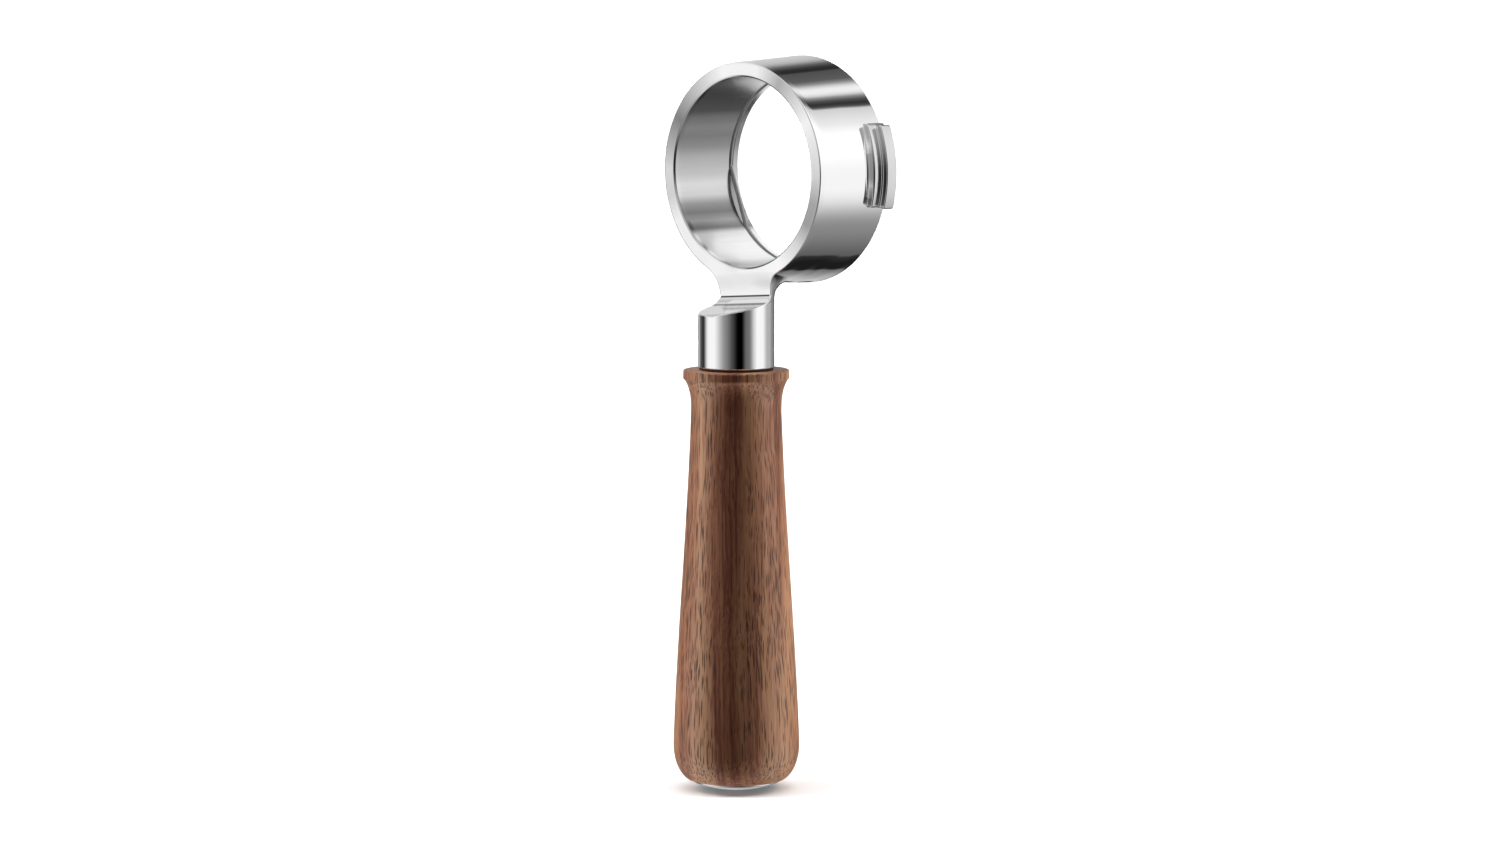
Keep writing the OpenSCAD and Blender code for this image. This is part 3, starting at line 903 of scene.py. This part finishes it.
# Tones from the darkest growth layers to the palest
WALNUT_TONES = [(0.42, (0.09, 0.024, 0.013)), (0.51, (0.2, 0.064, 0.034)), (0.58, (0.31, 0.13, 0.066)),
                (0.7, (0.43, 0.225, 0.115))]
PORE_TONE = (0.034, 0.013, 0.008, 1)
# Three crowds of pores: cells per mm across and along the grain, share of the cell, place in the noise
PORES = ((1.3, 0.062, 0.28, 0.0), (1.7, 0.085, 0.27, 31.0), (1.1, 0.045, 0.24, 77.0))


def walnut():
    """Oiled walnut with its grain along the handle: growth layers, fine lines and open pores."""
    material, tree, surface, p = new_material("walnut")
    p = scaled(tree, p, (1, 1, 1), (0, -AXIS_Y, 0))
    # slow drift of the grain along the handle
    drift = noise(tree, scaled(tree, p, (0.03, 0.03, 0.02)), 1.0, 2.0, out=1)
    drift = put(tree, "ShaderNodeVectorMath", [drift, (0.5, 0.5, 0.5)], operation="SUBTRACT")
    drift = put(tree, "ShaderNodeVectorMath", [drift, (3.6, 3.6, 0.0)], operation="MULTIPLY")
    grain = put(tree, "ShaderNodeVectorMath", [p, drift], operation="ADD")
    x, y, z = parts(tree, grain)

    # the layers are edge-on at the front of the handle and face its two sides
    layer = length(tree, calc(tree, "ADD", x, PITH_AT[0]), calc(tree, "ADD", y, PITH_AT[1]))
    layer = calc(tree, "ADD", layer, product(tree, z, 0.012))
    along = product(tree, z, 0.006)
    years = put(tree, "ShaderNodeCombineXYZ", [product(tree, layer, 0.16), along, 0.0])
    seasons = put(tree, "ShaderNodeCombineXYZ", [product(tree, layer, 0.75), along, 7.0])
    broad = noise(tree, years, 1.0, 2.0)
    season = noise(tree, seasons, 1.0, 3.0, 0.6)
    streak = noise(tree, scaled(tree, grain, (1.5, 1.5, 0.022)), 1.0, 3.0, 0.65)
    fibre = noise(tree, scaled(tree, grain, (5.0, 5.0, 0.1)), 1.0, 2.0, 0.6)
    aside = calc(tree, "ABSOLUTE", calc(tree, "ADD", layer, -math.hypot(*PITH_AT)))
    # darker along the growth layer through the handle axis and paler away from it: partly heartwood, partly
    # painted shade down the faces towards and away from the camera, with the two sides painted lighter
    heartwood_and_painted_shade = calc(tree, "MULTIPLY_ADD", smooth(tree, aside, 0.0, 9.0), 0.1, -0.065)
    tone = calc(tree, "MULTIPLY_ADD", broad, 0.4, heartwood_and_painted_shade)
    for part, share in ((season, 0.34), (streak, 0.3), (fibre, 0.14)):
        tone = calc(tree, "MULTIPLY_ADD", part, share, tone)
    tint = ramp(tree, tone, WALNUT_TONES)

    # open pores: long thin cells cut by the surface, crowded on the two sides that face the layers
    crowd = noise(tree, scaled(tree, grain, (0.16, 0.16, 0.02), (3, 9, 4)), 1.0, 2.0)
    crowd = calc(tree, "MULTIPLY_ADD", smooth(tree, aside, 3.0, 9.0), 0.3, crowd)
    crowd = smooth(tree, crowd, 0.45, 0.85)
    pores = None
    for across, lengthwise, share, seed in PORES:
        place = scaled(tree, grain, (across, across, lengthwise), (seed, seed * 0.7, seed * 1.3))
        near = put(tree, "ShaderNodeTexVoronoi", {"Vector": place, "Scale": 1.0, "Randomness": 1.0})
        wide = spread(tree, crowd, 0.0, 1.0, share * 0.55, share * 1.15)
        pore = spread(tree, near, product(tree, wide, 0.7), product(tree, wide, 1.1), 1.0, 0.0)
        pores = pore if pores is None else calc(tree, "MAXIMUM", pores, pore)
    tint = mix(tree, product(tree, pores, 0.82), tint, PORE_TONE)
    height = calc(tree, "MULTIPLY_ADD", pores, -0.8, product(tree, fibre, 0.25))
    set_input(tree, surface, Base_Color=tint, Roughness=spread(tree, tone, 0.4, 0.7, 0.42, 0.5),
              Normal=bump(tree, height, 0.35, 0.00009), IOR=1.45, Specular_IOR_Level=0.35)
    return material


def paper():
    material, tree, surface, p = new_material("pale_floor")
    grain = noise(tree, p, 0.2, 3.0)
    tint = ramp(tree, grain, [(0.0, (0.86, 0.86, 0.86)), (1.0, (0.88, 0.88, 0.88))])
    set_input(tree, surface, Base_Color=tint, Roughness=0.9, Specular_IOR_Level=0.0)
    return material


# ---------------------------------------------------------------- camera, studio, floor

CAM_AZIMUTH = math.radians(44.71)
CAM_ELEVATION = math.radians(5.79)
CAM_DISTANCE = 1.648
CAM_TARGET = Vector((0.0031, -0.0281, -0.0793))
CAM_LENS = 124.4
CAM_SENSOR = 36


def make_camera():
    data = bpy.data.cameras.new("camera")
    data.lens = CAM_LENS
    data.sensor_width = CAM_SENSOR
    data.clip_start, data.clip_end = 0.05, 100
    camera = bpy.data.objects.new("camera", data)
    bpy.context.scene.collection.objects.link(camera)
    a, e = CAM_AZIMUTH, CAM_ELEVATION
    back = Vector((math.sin(a) * math.cos(e), -math.cos(a) * math.cos(e), math.sin(e)))
    camera.location = CAM_TARGET + back * CAM_DISTANCE
    camera.rotation_mode = "QUATERNION"
    camera.rotation_quaternion = (-back).to_track_quat("-Z", "Y")
    bpy.context.scene.camera = camera


# What polished surfaces reflect, as (degrees round from the camera towards its right, grey).
# LEVEL is the strip at the horizon, ABOVE lies 24 degrees and more over it, BELOW 44 and more under it.
# LEVEL, and ABOVE and BELOW from about 85 to 180 degrees, follow numbers that a helper script made from
# the photo's pixels by tracing what they reflect. They are not a designed studio.
LEVEL = (
    (-180, 0.7), (-158, 0.6), (-149, 0.42), (-140, 0.15), (-131, 0.07), (-118, 0.02), (-112, 0.12),
    (-107, 0.37), (-98, 0.86), (-89, 0.97), (-73, 0.97), (-66, 0.9), (-52, 0.56), (-39, 0.31), (-26, 0.19),
    (-14, 0.08), (-2, 0.017), (4, 0.001), (18, 0.0), (23, 0.04), (29, 0.13), (41, 0.18), (47, 0.32),
    (54, 0.62), (67, 0.99), (90, 0.95), (100, 0.6), (110, 0.43), (121, 0.46), (136, 0.25), (158, 0.2),
    (175, 0.62),
)
ABOVE = (
    (-180, 0.62), (-178.5, 0.8), (-160, 0.8), (-140, 0.5), (-110, 0.8), (-60, 0.9), (-30, 0.45), (30, 0.4),
    (60, 0.9), (75, 1.15), (90, 1.15), (97, 0.86), (108.7, 0.64), (110, 0.08), (114, 0.03), (118, 0.08),
    (122, 0.25), (126, 0.72), (130, 0.9), (135, 0.88), (139, 0.66), (142, 0.4), (144.5, 0.24), (149, 0.11),
    (162, 0.08), (163.5, 0.02), (167, 0.03), (169, 0.055), (172, 0.14), (176, 0.5), (180, 0.62),
)
BELOW = (
    (-180, 0.28), (-170, 0.22), (-161, 0.05), (-150, 0.05), (-125, 0.7), (-60, 0.85), (-35, 0.45),
    (-15, 0.28), (20, 0.24), (45, 0.3), (90, 0.26), (108, 0.24), (122, 0.17), (132, 0.13), (139, 0.11),
    (141.5, 0.03), (150, 0.012), (162, 0.012), (164.5, 0.16), (172, 0.24), (180, 0.28),
)
# Light for rough surfaces: a tall soft box on each side, and a wide one overhead
SIDE_BOXES = (
    (-180, 0.0), (-108, 0.0), (-100, 14.0), (-82, 14.0), (-74, 0.0), (74, 0.0), (82, 12.0), (100, 12.0),
    (108, 0.0), (180, 0.0),
)
OVERHEAD = (3.6, 3.6, 3.6, 1)
AMBIENT = (0.06, 0.06, 0.06, 1)


def make_studio():
    """White surround for the camera; for reflections, greys placed by angle from it."""
    world = bpy.data.worlds.new("studio")
    bpy.context.scene.world = world
    world.use_nodes = True
    tree = world.node_tree
    tree.nodes.clear()
    x, y, z = parts(tree, put(tree, "ShaderNodeTexCoord", out=0))
    s, c = math.sin(CAM_AZIMUTH), math.cos(CAM_AZIMUTH)
    right = calc(tree, "ADD", product(tree, x, c), product(tree, y, s))
    toward = calc(tree, "SUBTRACT", product(tree, x, s), product(tree, y, c))
    turn = calc(tree, "MULTIPLY_ADD", calc(tree, "ARCTAN2", right, toward), 0.5 / math.pi, 0.5)
    rise = product(tree, calc(tree, "ARCSINE", z), 180 / math.pi)
    dip = product(tree, rise, -1.0)

    def by_turn(stops):
        return grey_ramp(tree, turn, [(angle / 360 + 0.5, value) for angle, value in stops])

    # both ends of the level strip, behind the subject, are dark just below the horizon
    from_ahead = calc(tree, "ABSOLUTE", calc(tree, "SUBTRACT", turn, 0.5))
    behind = product(tree, smooth(tree, from_ahead, 0.43, 0.455), inverse(tree, smooth(tree, rise, -2, 4)),
                     smooth(tree, rise, -18, -11))
    view = mix(tree, behind, by_turn(LEVEL), (0.015, 0.015, 0.016, 1))
    view = mix(tree, smooth(tree, rise, -3, 24), view, by_turn(ABOVE))
    view = mix(tree, smooth(tree, rise, 62, 75), view, (0.55, 0.55, 0.55, 1))
    view = mix(tree, smooth(tree, dip, 12, 44), view, by_turn(BELOW))
    view = mix(tree, smooth(tree, dip, 60, 85), view, (0.12, 0.12, 0.12, 1))

    # the boxes leave a gap just above the floor, so that they throw no long shadows
    gap = calc(tree, "MAXIMUM", smooth(tree, dip, 0, 6), smooth(tree, rise, 20, 36))
    glow = mix(tree, calc(tree, "MULTIPLY_ADD", gap, 0.92, 0.08), (0, 0, 0, 1), by_turn(SIDE_BOXES))
    glow = put(tree, "ShaderNodeMix", {0: 1.0, 6: glow, 7: AMBIENT}, out=2, data_type="RGBA",
               blend_type="ADD")
    glow = mix(tree, smooth(tree, rise, 55, 65), glow, OVERHEAD)
    path = tree.nodes.new("ShaderNodeLightPath")
    seen = mix(tree, path.outputs["Is Diffuse Ray"], view, glow)
    seen = mix(tree, path.outputs["Is Camera Ray"], seen, (1, 1, 1, 1))
    background = put(tree, "ShaderNodeBackground", [seen, 1.0])
    output = tree.nodes.new("ShaderNodeOutputWorld")
    tree.links.new(background, output.inputs[0])


def make_card():
    """A white card beyond the ring's mouth, seen only in reflections; placed for the bore's lower half."""
    x0, x1, y, z0, z1, strength = -75.0, -10.0, 38.0, -14.0, 37.0, 1.1
    mesh = bpy.data.meshes.new("bore_card")
    corners = [(x0, y, z0), (x1, y, z0), (x1, y, z1), (x0, y, z1)]
    mesh.from_pydata([tuple(c * MM for c in corner) for corner in corners], [], [(0, 1, 2, 3)])
    card = bpy.data.objects.new("bore_card", mesh)
    bpy.context.scene.collection.objects.link(card)
    material = bpy.data.materials.new("card_white")
    material.use_nodes = True
    material.node_tree.nodes.clear()
    glow = put(material.node_tree, "ShaderNodeEmission", [(1, 1, 1, 1), strength])
    output = material.node_tree.nodes.new("ShaderNodeOutputMaterial")
    material.node_tree.links.new(glow, output.inputs[0])
    mesh.materials.append(material)
    for ray in ("camera", "diffuse", "shadow", "transmission", "volume_scatter"):
        setattr(card, "visible_" + ray, False)


def make_floor():
    """Pale floor under the cap; it takes the contact shadow and stays out of the reflections."""
    lowest = cap_lo[2] * MM
    bpy.ops.mesh.primitive_circle_add(vertices=96, radius=30, fill_type="NGON", location=(0, 0, lowest))
    floor = bpy.context.object
    floor.name = "floor"
    floor.data.materials.append(paper())
    floor.visible_glossy = False
    floor.visible_diffuse = False


# ---------------------------------------------------------------- assembly

steel, wire, plated, brass = polished_steel(), drawn_wire(), plated_steel(), turned_brass()
build_head(steel)
build_spring(wire)
build_stud(plated)
build_washer(black_fibre())
build_grip(walnut())
build_sleeve("grip_insert", "handle_insert", insert_lo, insert_hi, 8.48, STUD_PITCH, (5.08, 6.0), brass, 0.4)
build_sleeve("cap_insert", "butt_insert", butt_lo, butt_hi, 4.98, CAP_PITCH, (2.48, 3.02), brass, 0.3)
build_cap_stud(plated)
build_seal(black_rubber())
build_cap(cap_steel())

make_camera()
make_studio()
make_card()
make_floor()
bpy.context.scene.view_settings.view_transform = "Standard"
